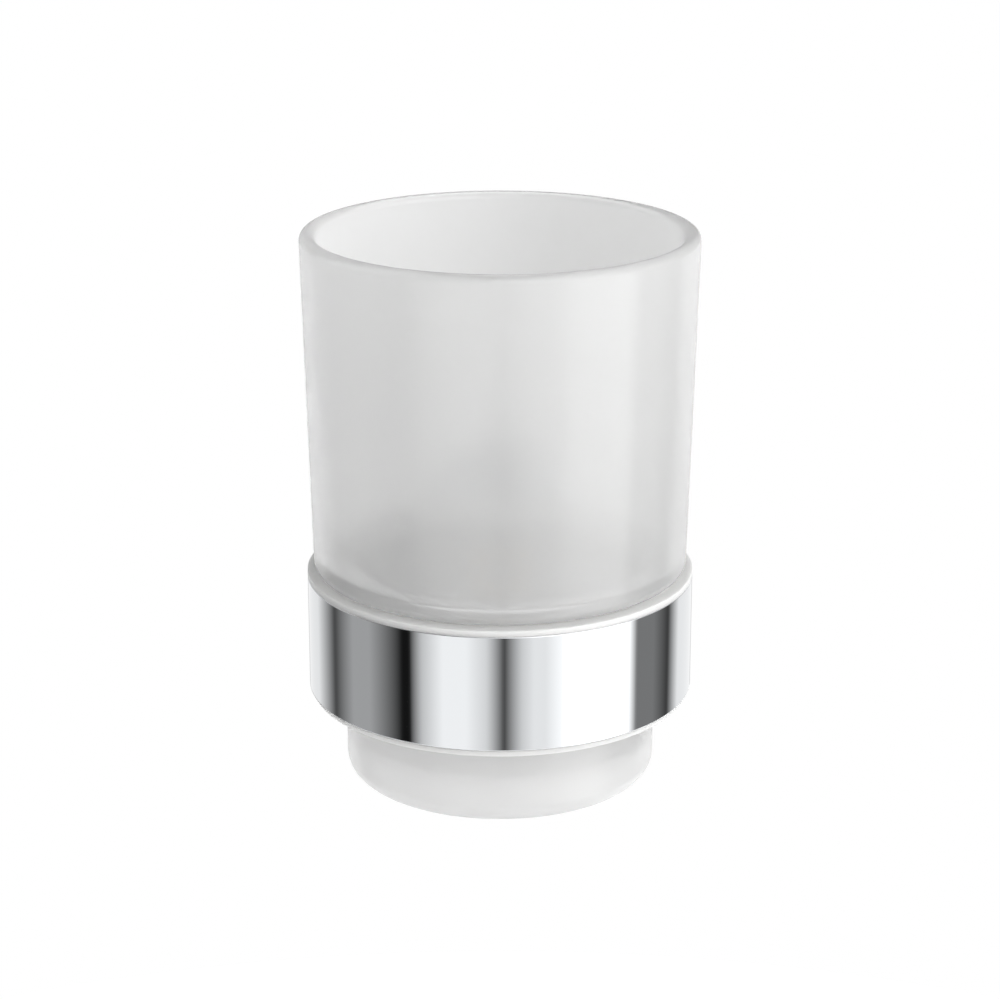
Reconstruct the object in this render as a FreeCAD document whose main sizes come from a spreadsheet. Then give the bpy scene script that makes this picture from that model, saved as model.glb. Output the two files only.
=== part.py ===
import FreeCAD, Part
import os
import Sketcher

# Wall-held bathroom tumbler: a frosted stepped glass hangs by its shoulder in a lined metal ring,
# which a single tie bolt clamps to a post and a wall rosette.
# Frame: +Z up, the wall is the plane Y = 0, the room is on the -Y side, and the origin lies
# midway between the two wall screws, level with the middle of the ring. Lengths are millimetres.

SIZES = {
    # Tumbler
    "foot_diameter": 60.6,
    "foot_length": 42.1,
    "shoulder_step": 5.85,
    "body_height": 66.4,
    "rim_flare": 1.7,
    "glass_wall": 3.0,
    "shoulder_thickness": 3.0,
    "base_thickness": 6.0,
    "foot_round": 4.0,
    "shoulder_round": 2.2,
    "step_round": 2.4,
    "step_root_round": 0.8,
    "root_round": 0.6,
    "floor_round": 5.0,
    "rim_flat": 0.2,
    "standing_width": 2.6,
    "punt_depth": 1.0,
    "punt_round": 0.6,
    # Ring and its two plastic liners
    "foot_clearance": 0.8,
    "ledge_width": 3.1,
    "sleeve_wall": 1.6,
    "sleeve_fit": 0.1,
    "ring_wall": 1.6,
    "ring_height": 22.5,
    "ring_edge_round": 0.2,
    "flange_thickness": 1.2,
    "flange_edge_round": 0.2,
    "ledge_round": 1.0,
    "lip_height": 1.4,
    "lip_setback": 0.8,
    "sleeve_gap": 2.5,
    # Clamp between ring, post and rosette
    "bolt_diameter": 5.0,
    "bolt_clearance": 0.25,
    "thread_fit": 0.05,
    "bolt_head_diameter": 8.5,
    "bolt_head_height": 5.0,
    "bolt_socket_width": 4.0,
    "bolt_socket_depth": 2.5,
    "nut_width": 14.0,
    "nut_height": 10.0,
    "nut_thickness": 3.4,
    "notch_clearance": 0.3,
    "post_diameter": 16.0,
    "post_length": 18.5,
    "post_edge_round": 0.5,
    "saddle_fit": 0.05,
    # Wall rosette, bracket and their screws
    "rosette_diameter": 40.0,
    "rosette_depth": 9.0,
    "rosette_wall": 2.6,
    "rosette_front": 2.2,
    "rosette_round": 2.5,
    "bracket_clearance": 0.25,
    "bracket_thickness": 5.0,
    "groove_depth": 1.6,
    "head_clearance": 1.35,
    "grub_diameter": 3.0,
    "grub_recess": 0.4,
    "grub_tip_diameter": 0.8,
    "grub_tip_gap": 0.6,
    "grub_socket_width": 1.5,
    "grub_socket_depth": 1.2,
    "screw_spacing": 21.0,
    "screw_head_diameter": 7.4,
    "screw_shank_diameter": 3.5,
    "screw_thread_diameter": 4.0,
    "screw_thread_length": 25.0,
    "screw_tip_length": 5.0,
    "screw_sink": 0.2,
    "countersink_fit": 0.05,
    "screw_hole_clearance": 0.4,
    "recess_length": 3.6,
    "recess_width": 0.9,
    "recess_depth": 1.2,
}

SHEET = "Sizes"
PARTS_FOLDER = "parts"


def cell(name):
    """Expression text for one cell of the sheet of sizes."""
    return f"{SHEET}.{name}"


# Radii of the tumbler, counted outwards from its foot
FOOT_RADIUS = f"{cell('foot_diameter')} / 2"
FOOT_BORE = f"{FOOT_RADIUS} - {cell('glass_wall')}"
SHOULDER_RADIUS = f"{FOOT_RADIUS} + {cell('shoulder_step')}"
RIM_RADIUS = f"{SHOULDER_RADIUS} + {cell('rim_flare')}"
PUNT_RADIUS = f"{FOOT_RADIUS} - {cell('foot_round')} - {cell('standing_width')}"

# Radii of the liners and the ring, counted outwards from the foot that hangs in them
SEAT_BORE = f"{FOOT_RADIUS} + {cell('foot_clearance')}"
SLEEVE_INSIDE = f"{SEAT_BORE} + {cell('ledge_width')}"
SLEEVE_OUTSIDE = f"{SLEEVE_INSIDE} + {cell('sleeve_wall')}"
RING_BORE = f"{SLEEVE_OUTSIDE} + {cell('sleeve_fit')}"
RING_RADIUS = f"{RING_BORE} + {cell('ring_wall')}"

# Heights on the glass, from the underside of its foot
INNER_STEP = f"{cell('foot_length')} + {cell('shoulder_thickness')}"
GLASS_HEIGHT = f"{cell('foot_length')} + {cell('body_height')}"
SLEEVE_LENGTH = f"({cell('ring_height')} - {cell('sleeve_gap')}) / 2"
RING_TOP = f"{cell('ring_height')} / 2"

# Distances from the wall
AXIS_DISTANCE = f"{RING_RADIUS} + {cell('post_length')} + {cell('rosette_depth')}"
BOLT_SEAT = f"{cell('rosette_depth')} - {cell('rosette_front')}"
BOLT_START = f"{BOLT_SEAT} - {cell('bolt_head_height')}"
GROOVE_DISTANCE = f"{cell('bracket_thickness')} / 2"
SCREW_START = f"{cell('bracket_thickness')} - {cell('screw_sink')}"

# Radii on the wall side
BOLT_RADIUS = f"{cell('bolt_diameter')} / 2"
BOLT_HOLE = f"{BOLT_RADIUS} + {cell('bolt_clearance')}"
BOLT_THREAD = f"{BOLT_RADIUS} + {cell('thread_fit')}"
BOLT_HEAD_RADIUS = f"{cell('bolt_head_diameter')} / 2"
ROSETTE_RADIUS = f"{cell('rosette_diameter')} / 2"
ROSETTE_BORE = f"{ROSETTE_RADIUS} - {cell('rosette_wall')}"
BRACKET_RADIUS = f"{ROSETTE_BORE} - {cell('bracket_clearance')}"
GROOVE_RADIUS = f"{BRACKET_RADIUS} - {cell('groove_depth')}"
GRUB_RADIUS = f"{cell('grub_diameter')} / 2"
GRUB_OUTER_END = f"{ROSETTE_RADIUS} - {cell('grub_recess')}"
GRUB_TIP = f"{GROOVE_RADIUS} + {cell('grub_tip_gap')}"


def build_sheet(document):
    """Make the sheet that holds the driving dimensions, one alias to a row."""
    sheet = document.addObject("Spreadsheet::Sheet", SHEET)
    for row, (name, value) in enumerate(SIZES.items(), start=1):
        sheet.set(f"A{row}", name)
        sheet.set(f"B{row}", str(value))
        sheet.setAlias(f"B{row}", name)
    document.recompute()
    return sheet


def value_of(document, expression):
    """Number that an expression over the sheet comes to."""
    return float(document.getObject(SHEET).evalExpression(expression))


def new_body(document, name):
    """Start the body of one piece, named as its file is."""
    body = document.addObject("PartDesign::Body", name)
    body.Label = name
    return body


def new_sketch(body, name, role):
    """Attach an empty sketch to one of the body's own origin planes."""
    plane = next(item for item in body.Origin.OriginFeatures if item.Role == role)
    sketch = body.newObject("Sketcher::SketchObject", name)
    sketch.AttachmentSupport = [(plane, "")]
    sketch.MapMode = "FlatFace"
    return sketch


def pin_point(sketch, geometry, point, across, up):
    """Hold one point of a sketch at two expressions, or on an axis where one is None."""
    origin = (-1, 1)
    axes = {"DistanceX": -2, "DistanceY": -1}
    for kind, expression in (("DistanceX", across), ("DistanceY", up)):
        if expression is None:
            sketch.addConstraint(Sketcher.Constraint("PointOnObject", geometry, point, axes[kind]))
            continue
        number = value_of(sketch.Document, expression)
        index = sketch.addConstraint(Sketcher.Constraint(kind, *origin, geometry, point, number))
        sketch.setExpression(f"Constraints[{index}]", expression)


def draw_outline(sketch, corners):
    """Draw a closed outline of straight lines whose corners are pairs of expressions."""
    document = sketch.Document
    places = []
    for across, up in corners:
        x = 0 if across is None else value_of(document, across)
        y = 0 if up is None else value_of(document, up)
        places.append(FreeCAD.Vector(x, y, 0))
    count = len(places)
    for index in range(count):
        sketch.addGeometry(Part.LineSegment(places[index], places[(index + 1) % count]))
    for index in range(count):
        sketch.addConstraint(Sketcher.Constraint("Coincident", index, 2, (index + 1) % count, 1))
    for index, (across, up) in enumerate(corners):
        pin_point(sketch, index, 1, across, up)


def draw_circle(sketch, across, up, radius):
    """Draw a circle whose centre and radius are expressions."""
    document = sketch.Document
    x = 0 if across is None else value_of(document, across)
    y = 0 if up is None else value_of(document, up)
    size = value_of(document, radius)
    circle = Part.Circle(FreeCAD.Vector(x, y, 0), FreeCAD.Vector(0, 0, 1), size)
    geometry = sketch.addGeometry(circle)
    pin_point(sketch, geometry, 3, across, up)
    index = sketch.addConstraint(Sketcher.Constraint("Radius", geometry, size))
    sketch.setExpression(f"Constraints[{index}]", radius)


def draw_hexagon(sketch, width):
    """Draw a hexagon centred on the origin, with its width across flats as an expression."""
    corner = f"({width}) / 2 / cos(30)"
    flat = f"({width}) / 2"
    corners = [
        (corner, None),
        (f"({corner}) / 2", flat),
        (f"-({corner}) / 2", flat),
        (f"-({corner})", None),
        (f"-({corner}) / 2", f"-({flat})"),
        (f"({corner}) / 2", f"-({flat})"),
    ]
    draw_outline(sketch, corners)


def revolve(body, name, corners):
    """Turn an outline, given as radius and height, about the body's own upright axis."""
    sketch = new_sketch(body, f"{name}_profile", "XZ_Plane")
    draw_outline(sketch, corners)
    feature = body.newObject("PartDesign::Revolution", name)
    feature.Profile = sketch
    feature.ReferenceAxis = (sketch, ["V_Axis"])
    feature.Angle = 360.0
    body.Document.recompute()
    return feature


def cut(body, name, sketch, depth=None, away=False, both_ways=False):
    """Cut a sketch's outline out of the body, through everything unless a depth is given."""
    before = body.Shape.Volume
    feature = body.newObject("PartDesign::Pocket", name)
    feature.Profile = sketch
    feature.Reversed = away
    if both_ways:
        feature.SideType = "Symmetric"
    if depth is None:
        feature.Type = "ThroughAll"
    else:
        feature.Type = "Length"
        feature.setExpression("Length", depth)
    body.Document.recompute()
    if not body.Shape.Volume < before:
        raise RuntimeError(f"{name} cuts nothing")
    return feature


def round_edges(body, name, radius, places):
    """Round the circular edges that lie at the given pairs of radius and height."""
    document = body.Document
    base = body.Tip
    tolerance = 1e-4
    wanted = [(value_of(document, across), value_of(document, up)) for across, up in places]
    edges = []
    for index, edge in enumerate(base.Shape.Edges, start=1):
        if not isinstance(edge.Curve, Part.Circle):
            continue
        for across, up in wanted:
            same_radius = abs(edge.Curve.Radius - across) < tolerance
            same_height = abs(edge.Curve.Center.z - up) < tolerance
            if same_radius and same_height:
                edges.append(f"Edge{index}")
    if len(edges) < len(places):
        raise RuntimeError(f"{name} finds {len(edges)} of {len(places)} edges")
    feature = body.newObject("PartDesign::Fillet", name)
    feature.Base = (base, edges)
    feature.setExpression("Radius", radius)
    document.recompute()
    return feature


def place(body, across="0", depth="0", up="0", tilt=0.0):
    """Stand a finished body in the part's frame, tilted about X, at three expressions."""
    rotation = FreeCAD.Rotation(FreeCAD.Vector(1, 0, 0), tilt)
    body.Placement = FreeCAD.Placement(FreeCAD.Vector(0, 0, 0), rotation)
    body.setExpression("Placement.Base.x", across)
    body.setExpression("Placement.Base.y", depth)
    body.setExpression("Placement.Base.z", up)


# Tilts about X that turn a body's own upright axis
TO_ROOM = 90.0
TO_WALL = -TO_ROOM


def build_tumbler(document):
    """Pressed frosted glass: flared body, rounded shoulder that it hangs by, and a straight foot."""
    body = new_body(document, "tumbler")
    inner_shoulder = f"{SHOULDER_RADIUS} - {cell('glass_wall')}"
    inner_rim = f"{RIM_RADIUS} - {cell('glass_wall')}"
    revolve(
        body,
        "tumbler_wall",
        [
            (None, cell("punt_depth")),
            (PUNT_RADIUS, cell("punt_depth")),
            (PUNT_RADIUS, None),
            (FOOT_RADIUS, None),
            (FOOT_RADIUS, cell("foot_length")),
            (SHOULDER_RADIUS, cell("foot_length")),
            (RIM_RADIUS, GLASS_HEIGHT),
            (inner_rim, GLASS_HEIGHT),
            (inner_shoulder, INNER_STEP),
            (FOOT_BORE, INNER_STEP),
            (FOOT_BORE, cell("base_thickness")),
            (None, cell("base_thickness")),
        ],
    )
    round_edges(body, "foot_rounding", cell("foot_round"), [(FOOT_RADIUS, "0")])
    round_edges(
        body, "shoulder_rounding", cell("shoulder_round"), [(SHOULDER_RADIUS, cell("foot_length"))]
    )
    round_edges(body, "root_rounding", cell("root_round"), [(FOOT_RADIUS, cell("foot_length"))])
    round_edges(body, "step_rounding", cell("step_round"), [(FOOT_BORE, INNER_STEP)])
    round_edges(
        body, "step_root_rounding", cell("step_root_round"), [(inner_shoulder, INNER_STEP)]
    )
    round_edges(body, "floor_rounding", cell("floor_round"), [(FOOT_BORE, cell("base_thickness"))])
    round_edges(
        body,
        "rim_rounding",
        f"({cell('glass_wall')} - {cell('rim_flat')}) / 2",
        [(RIM_RADIUS, GLASS_HEIGHT), (inner_rim, GLASS_HEIGHT)],
    )
    round_edges(
        body,
        "punt_rounding",
        f"min({cell('punt_round')}; {cell('punt_depth')} * 0.9)",
        [(PUNT_RADIUS, "0")],
    )
    seat_height = f"{RING_TOP} + {cell('flange_thickness')} - {cell('foot_length')}"
    place(body, depth=f"-({AXIS_DISTANCE})", up=seat_height)
    return body


def build_holder_ring(document):
    """Chromed brass ring, a plain band of tube with one bolt hole at its back."""
    body = new_body(document, "holder_ring")
    revolve(
        body,
        "ring_band",
        [
            (RING_BORE, None),
            (RING_RADIUS, None),
            (RING_RADIUS, cell("ring_height")),
            (RING_BORE, cell("ring_height")),
        ],
    )
    round_edges(
        body,
        "ring_edge_rounding",
        cell("ring_edge_round"),
        [(RING_RADIUS, "0"), (RING_RADIUS, cell("ring_height"))],
    )
    hole = new_sketch(body, "ring_bolt_hole_outline", "XZ_Plane")
    draw_circle(hole, None, RING_TOP, BOLT_HOLE)
    cut(body, "ring_bolt_hole", hole)
    place(body, depth=f"-({AXIS_DISTANCE})", up=f"-({RING_TOP})")
    return body


def cut_nut_notch(body, name, low, high):
    """Cut the notch in a liner's sleeve that keys it to the saddle nut at the back."""
    half_width = f"{cell('nut_width')} / 2 + {cell('notch_clearance')}"
    notch = new_sketch(body, f"{name}_outline", "XZ_Plane")
    corners = [
        (f"-({half_width})", low),
        (half_width, low),
        (half_width, high),
        (f"-({half_width})", high),
    ]
    draw_outline(notch, corners)
    cut(body, name, notch)


NOTCH_DEPTH = f"({cell('nut_height')} - {cell('sleeve_gap')}) / 2 + {cell('notch_clearance')}"


def build_seat_ring(document):
    """Upper plastic liner: the flange that the glass stands on, with a sleeve down into the ring."""
    body = new_body(document, "seat_ring")
    flange_top = f"{SLEEVE_LENGTH} + {cell('flange_thickness')}"
    revolve(
        body,
        "seat_section",
        [
            (SLEEVE_INSIDE, None),
            (SLEEVE_OUTSIDE, None),
            (SLEEVE_OUTSIDE, SLEEVE_LENGTH),
            (RING_RADIUS, SLEEVE_LENGTH),
            (RING_RADIUS, flange_top),
            (SEAT_BORE, flange_top),
            (SEAT_BORE, SLEEVE_LENGTH),
            (SLEEVE_INSIDE, SLEEVE_LENGTH),
        ],
    )
    round_edges(body, "seat_flange_rounding", cell("flange_edge_round"), [(RING_RADIUS, flange_top)])
    round_edges(body, "seat_ledge_rounding", cell("ledge_round"), [(SLEEVE_INSIDE, SLEEVE_LENGTH)])
    cut_nut_notch(body, "seat_nut_notch", None, NOTCH_DEPTH)
    place(body, depth=f"-({AXIS_DISTANCE})", up=f"{cell('sleeve_gap')} / 2")
    return body


def build_guide_ring(document):
    """Lower plastic liner: a bevelled lip under the ring, with a sleeve up into it."""
    body = new_body(document, "guide_ring")
    sleeve_end = f"{cell('lip_height')} + {SLEEVE_LENGTH}"
    revolve(
        body,
        "guide_section",
        [
            (SEAT_BORE, None),
            (f"{RING_RADIUS} - {cell('lip_setback')}", None),
            (RING_RADIUS, cell("lip_height")),
            (SLEEVE_OUTSIDE, cell("lip_height")),
            (SLEEVE_OUTSIDE, sleeve_end),
            (SLEEVE_INSIDE, sleeve_end),
            (SLEEVE_INSIDE, cell("lip_height")),
            (SEAT_BORE, cell("lip_height")),
        ],
    )
    round_edges(
        body, "guide_ledge_rounding", cell("ledge_round"), [(SLEEVE_INSIDE, cell("lip_height"))]
    )
    cut_nut_notch(body, "guide_nut_notch", f"{sleeve_end} - ({NOTCH_DEPTH})", sleeve_end)
    place(body, depth=f"-({AXIS_DISTANCE})", up=f"-({RING_TOP}) - {cell('lip_height')}")
    return body


def build_saddle_nut(document):
    """Tapped brass block, curved to the ring's bore, that the tie bolt pulls against."""
    body = new_body(document, "saddle_nut")
    curve_radius = f"{RING_BORE} - {cell('saddle_fit')}"
    half_width = f"{cell('nut_width')} / 2"
    side_reach = f"sqrt(({curve_radius})^2 - ({half_width})^2)"
    flat_reach = f"{curve_radius} - {cell('nut_thickness')}"
    radius = value_of(document, curve_radius)
    right = value_of(document, half_width)
    shoulder = value_of(document, side_reach)
    flat = value_of(document, flat_reach)
    sketch = new_sketch(body, "nut_outline", "XY_Plane")
    corners = [
        FreeCAD.Vector(right, shoulder, 0),
        FreeCAD.Vector(-right, shoulder, 0),
        FreeCAD.Vector(-right, flat, 0),
        FreeCAD.Vector(right, flat, 0),
    ]
    crown = FreeCAD.Vector(0, radius, 0)
    arc = sketch.addGeometry(Part.Arc(corners[0], crown, corners[1]))
    for first, second in ((1, 2), (2, 3), (3, 0)):
        sketch.addGeometry(Part.LineSegment(corners[first], corners[second]))
    sketch.addConstraint(Sketcher.Constraint("Coincident", arc, 3, -1, 1))
    sketch.addConstraint(Sketcher.Constraint("Coincident", arc, 2, 1, 1))
    sketch.addConstraint(Sketcher.Constraint("Coincident", 1, 2, 2, 1))
    sketch.addConstraint(Sketcher.Constraint("Coincident", 2, 2, 3, 1))
    sketch.addConstraint(Sketcher.Constraint("Coincident", 3, 2, arc, 1))
    pin_point(sketch, 2, 1, f"-({half_width})", flat_reach)
    pin_point(sketch, 2, 2, half_width, flat_reach)
    sketch.addConstraint(Sketcher.Constraint("Vertical", 1))
    sketch.addConstraint(Sketcher.Constraint("Vertical", 3))
    index = sketch.addConstraint(Sketcher.Constraint("Radius", arc, radius))
    sketch.setExpression(f"Constraints[{index}]", curve_radius)
    block = body.newObject("PartDesign::Pad", "nut_block")
    block.Profile = sketch
    block.SideType = "Symmetric"
    block.setExpression("Length", cell("nut_height"))
    document.recompute()
    hole = new_sketch(body, "nut_thread_outline", "XZ_Plane")
    draw_circle(hole, None, None, BOLT_THREAD)
    cut(body, "nut_thread", hole)
    place(body, depth=f"-({AXIS_DISTANCE})")
    return body


def build_support_post(document):
    """Chromed post from the rosette to the ring, hollowed to the ring's curve at its front."""
    body = new_body(document, "support_post")
    revolve(
        body,
        "post_bar",
        [
            (BOLT_HOLE, cell("rosette_depth")),
            (f"{cell('post_diameter')} / 2", cell("rosette_depth")),
            (f"{cell('post_diameter')} / 2", AXIS_DISTANCE),
            (BOLT_HOLE, AXIS_DISTANCE),
        ],
    )
    round_edges(
        body,
        "post_end_rounding",
        cell("post_edge_round"),
        [(f"{cell('post_diameter')} / 2", cell("rosette_depth"))],
    )
    saddle = new_sketch(body, "post_saddle_outline", "XZ_Plane")
    draw_circle(saddle, None, AXIS_DISTANCE, f"{RING_RADIUS} + {cell('saddle_fit')}")
    cut(body, "post_saddle", saddle, both_ways=True)
    place(body, tilt=TO_ROOM)
    return body


def build_tie_bolt(document):
    """Socket-head bolt from inside the rosette, through the post and the ring, into the nut."""
    body = new_body(document, "tie_bolt")
    nut_inside = f"{RING_BORE} - {cell('saddle_fit')} - {cell('nut_thickness')}"
    tip = f"{AXIS_DISTANCE} - ({nut_inside}) - ({BOLT_START})"
    revolve(
        body,
        "bolt_blank",
        [
            (None, None),
            (BOLT_HEAD_RADIUS, None),
            (BOLT_HEAD_RADIUS, cell("bolt_head_height")),
            (BOLT_RADIUS, cell("bolt_head_height")),
            (BOLT_RADIUS, tip),
            (None, tip),
        ],
    )
    socket = new_sketch(body, "bolt_socket_outline", "XY_Plane")
    draw_hexagon(socket, cell("bolt_socket_width"))
    cut(body, "bolt_socket", socket, depth=cell("bolt_socket_depth"), away=True)
    place(body, depth=f"-({BOLT_START})", tilt=TO_ROOM)
    return body


def build_wall_rosette(document):
    """Chromed cup that covers the bracket, with a tapped hole for the grub screw underneath."""
    body = new_body(document, "wall_rosette")
    revolve(
        body,
        "rosette_cup",
        [
            (ROSETTE_BORE, None),
            (ROSETTE_RADIUS, None),
            (ROSETTE_RADIUS, cell("rosette_depth")),
            (BOLT_HOLE, cell("rosette_depth")),
            (BOLT_HOLE, BOLT_SEAT),
            (ROSETTE_BORE, BOLT_SEAT),
        ],
    )
    round_edges(
        body, "rosette_rounding", cell("rosette_round"), [(ROSETTE_RADIUS, cell("rosette_depth"))]
    )
    hole = new_sketch(body, "grub_hole_outline", "XZ_Plane")
    draw_circle(hole, None, GROOVE_DISTANCE, f"{GRUB_RADIUS} + {cell('thread_fit')}")
    cut(body, "grub_hole", hole, away=True)
    place(body, tilt=TO_ROOM)
    return body


def build_wall_bracket(document):
    """Cast disc screwed to the wall, with a grooved rim that the grub screw bites into."""
    body = new_body(document, "wall_bracket")
    centre_hole = f"{BOLT_HEAD_RADIUS} + {cell('head_clearance')}"
    revolve(
        body,
        "bracket_disc",
        [
            (centre_hole, None),
            (BRACKET_RADIUS, None),
            (BRACKET_RADIUS, f"{GROOVE_DISTANCE} - {cell('groove_depth')}"),
            (GROOVE_RADIUS, GROOVE_DISTANCE),
            (BRACKET_RADIUS, f"{GROOVE_DISTANCE} + {cell('groove_depth')}"),
            (BRACKET_RADIUS, cell("bracket_thickness")),
            (centre_hole, cell("bracket_thickness")),
        ],
    )
    centres = new_sketch(body, "screw_hole_centres", "XY_Plane")
    centres.setExpression("AttachmentOffset.Base.z", cell("bracket_thickness"))
    hole_radius = f"{cell('screw_shank_diameter')} / 2 + {cell('screw_hole_clearance')}"
    for side in ("", "-"):
        draw_circle(centres, f"{side}{cell('screw_spacing')} / 2", None, hole_radius)
    document.recompute()
    before = body.Shape.Volume
    holes = body.newObject("PartDesign::Hole", "screw_holes")
    holes.Profile = centres
    holes.DepthType = "ThroughAll"
    holes.HoleCutType = "Countersink"
    holes.HoleCutCustomValues = True
    holes.HoleCutCountersinkAngle = 90.0
    holes.setExpression("Diameter", f"2 * ({hole_radius})")
    room = f"{cell('screw_sink')} + {cell('countersink_fit')}"
    holes.setExpression("HoleCutDiameter", f"{cell('screw_head_diameter')} + 2 * ({room})")
    document.recompute()
    if not body.Shape.Volume < before:
        raise RuntimeError("screw_holes cuts nothing")
    place(body, tilt=TO_ROOM)
    return body


def build_grub_screw(document):
    """Cone-point grub screw, turned from below, that locks the rosette onto the bracket."""
    body = new_body(document, "grub_screw")
    tip_height = f"{GRUB_OUTER_END} - ({GRUB_TIP})"
    tip_radius = f"{cell('grub_tip_diameter')} / 2"
    revolve(
        body,
        "grub_blank",
        [
            (None, None),
            (GRUB_RADIUS, None),
            (GRUB_RADIUS, f"{tip_height} - ({GRUB_RADIUS} - {tip_radius})"),
            (tip_radius, tip_height),
            (None, tip_height),
        ],
    )
    socket = new_sketch(body, "grub_socket_outline", "XY_Plane")
    draw_hexagon(socket, cell("grub_socket_width"))
    cut(body, "grub_socket", socket, depth=cell("grub_socket_depth"), away=True)
    place(body, depth=f"-({GROOVE_DISTANCE})", up=f"-({GRUB_OUTER_END})")
    return body


def build_wall_screw(document, name, side):
    """Countersunk wall screw, whose thread starts at the wall's face."""
    body = new_body(document, name)
    head_radius = f"{cell('screw_head_diameter')} / 2"
    shank_radius = f"{cell('screw_shank_diameter')} / 2"
    thread_radius = f"{cell('screw_thread_diameter')} / 2"
    thread_end = f"{SCREW_START} + {cell('screw_thread_length')}"
    revolve(
        body,
        f"{name}_blank",
        [
            (None, None),
            (head_radius, None),
            (shank_radius, f"{head_radius} - {shank_radius}"),
            (shank_radius, SCREW_START),
            (thread_radius, SCREW_START),
            (thread_radius, thread_end),
            (None, f"{thread_end} + {cell('screw_tip_length')}"),
        ],
    )
    arm = f"{cell('recess_length')} / 2"
    flank = f"{cell('recess_width')} / 2"
    recess = new_sketch(body, f"{name}_recess_outline", "XY_Plane")
    quarter = [(arm, f"-({flank})"), (arm, flank), (flank, flank), (flank, arm), (f"-({flank})", arm)]
    opposite = [(f"-({across})", f"-({up})") for across, up in quarter]
    corner = (f"-({flank})", flank)
    opposite_corner = (flank, f"-({flank})")
    draw_outline(recess, quarter + [corner] + opposite + [opposite_corner])
    cut(body, f"{name}_recess", recess, depth=cell("recess_depth"), away=True)
    place(body, across=f"{side}{cell('screw_spacing')} / 2", depth=f"-({SCREW_START})", tilt=TO_WALL)
    return body


def check_document(document, pieces):
    """Stop if any feature failed, or if a piece is not one valid solid."""
    document.recompute()
    for item in document.Objects:
        if "Invalid" in item.State or "Error" in item.State:
            raise RuntimeError(f"{item.Name} failed: {item.State}")
    for piece in pieces:
        shape = piece.Shape
        if shape.isNull() or not shape.isValid() or len(shape.Solids) != 1:
            raise RuntimeError(f"{piece.Label} is not one valid solid")


def main():
    """Build every piece, check it and write it to its own file."""
    document = FreeCAD.newDocument("bathroom_tumbler")
    build_sheet(document)
    pieces = [
        build_tumbler(document),
        build_holder_ring(document),
        build_seat_ring(document),
        build_guide_ring(document),
        build_saddle_nut(document),
        build_support_post(document),
        build_tie_bolt(document),
        build_wall_rosette(document),
        build_wall_bracket(document),
        build_grub_screw(document),
        build_wall_screw(document, "wall_screw_right", ""),
        build_wall_screw(document, "wall_screw_left", "-"),
    ]
    check_document(document, pieces)
    os.makedirs(PARTS_FOLDER, exist_ok=True)
    for piece in pieces:
        piece.Shape.exportStep(f"{PARTS_FOLDER}/{piece.Label}.step")
        print(piece.Label, round(piece.Shape.Volume, 1), "mm3")


main()
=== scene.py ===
"""Looks of a wall-held bathroom tumbler: a frosted glass in a lined chrome ring on a round rosette.

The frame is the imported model's own: metres, +Z up, the wall on the plane Y = 0, the room on the -Y side.
Sizes of pieces are written in millimetres and turned to metres where a mesh is made.
"""

import logging
import math
from collections.abc import Sequence
from dataclasses import dataclass, field
from enum import Enum
from typing import Any

import bmesh
import bpy
from mathutils import Matrix, Vector


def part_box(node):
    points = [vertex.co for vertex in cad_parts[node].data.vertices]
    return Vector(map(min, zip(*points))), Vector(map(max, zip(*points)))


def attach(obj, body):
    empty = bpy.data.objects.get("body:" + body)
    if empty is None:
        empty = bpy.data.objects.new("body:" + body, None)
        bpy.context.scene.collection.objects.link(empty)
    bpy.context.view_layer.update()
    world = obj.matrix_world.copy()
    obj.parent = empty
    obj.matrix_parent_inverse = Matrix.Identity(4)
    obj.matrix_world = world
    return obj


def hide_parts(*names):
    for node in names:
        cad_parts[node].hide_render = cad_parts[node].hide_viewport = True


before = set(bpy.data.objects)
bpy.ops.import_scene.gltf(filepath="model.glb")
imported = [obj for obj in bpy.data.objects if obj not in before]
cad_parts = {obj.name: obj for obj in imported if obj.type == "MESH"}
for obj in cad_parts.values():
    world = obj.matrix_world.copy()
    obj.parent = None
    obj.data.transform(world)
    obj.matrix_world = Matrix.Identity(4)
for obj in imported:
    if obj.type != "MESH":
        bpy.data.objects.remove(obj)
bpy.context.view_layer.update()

LOG = logging.getLogger("tumbler")
MM = 0.001
WELD = 1e-7
CREASE_DEGREES = 35.0
WHITE = (1.0, 1.0, 1.0, 1.0)
# How finely curves are divided: round large pieces, round small ones, roundings and thread turns.
TURN_STEPS = 160
BAR_STEPS = 72
SCREW_STEPS = 48
NOTCH_STEPS = 12
SADDLE_STEPS = 4
ARC_STEPS = 8
THREAD_STEPS = 10
# Blender's wave texture runs through this many radians per unit of its scale.
WAVE_RADIANS = 20.0

Point = tuple[float, float]
Spoke = tuple[float, list[Point]]


class Axis(Enum):
    """Ways that a turned piece's axis can point, each as a tilt in degrees about +X from upright."""

    UP = 0.0
    TO_WALL = -90.0
    TO_ROOM = 90.0

    def place(self, across: float, depth: float, up: float) -> Matrix:
        """Matrix from a piece's own millimetres, with its axis upright, to the row frame's metres.

        Args:
            across: Where the piece's origin lies along +X, in mm.
            depth: Where it lies along +Y, in mm.
            up: Where it lies along +Z, in mm.

        Returns:
            The matrix that scales, tilts and moves the piece.
        """
        tilt = Matrix.Rotation(math.radians(self.value), 4, "X")
        return Matrix.Scale(MM, 4) @ Matrix.Translation((across, depth, up)) @ tilt


@dataclass(frozen=True)
class Corner:
    """Corner of a half-section, in mm: its distance from the axis, its height, and its rounding."""

    radius: float
    height: float
    rounding: float = 0.0


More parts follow.
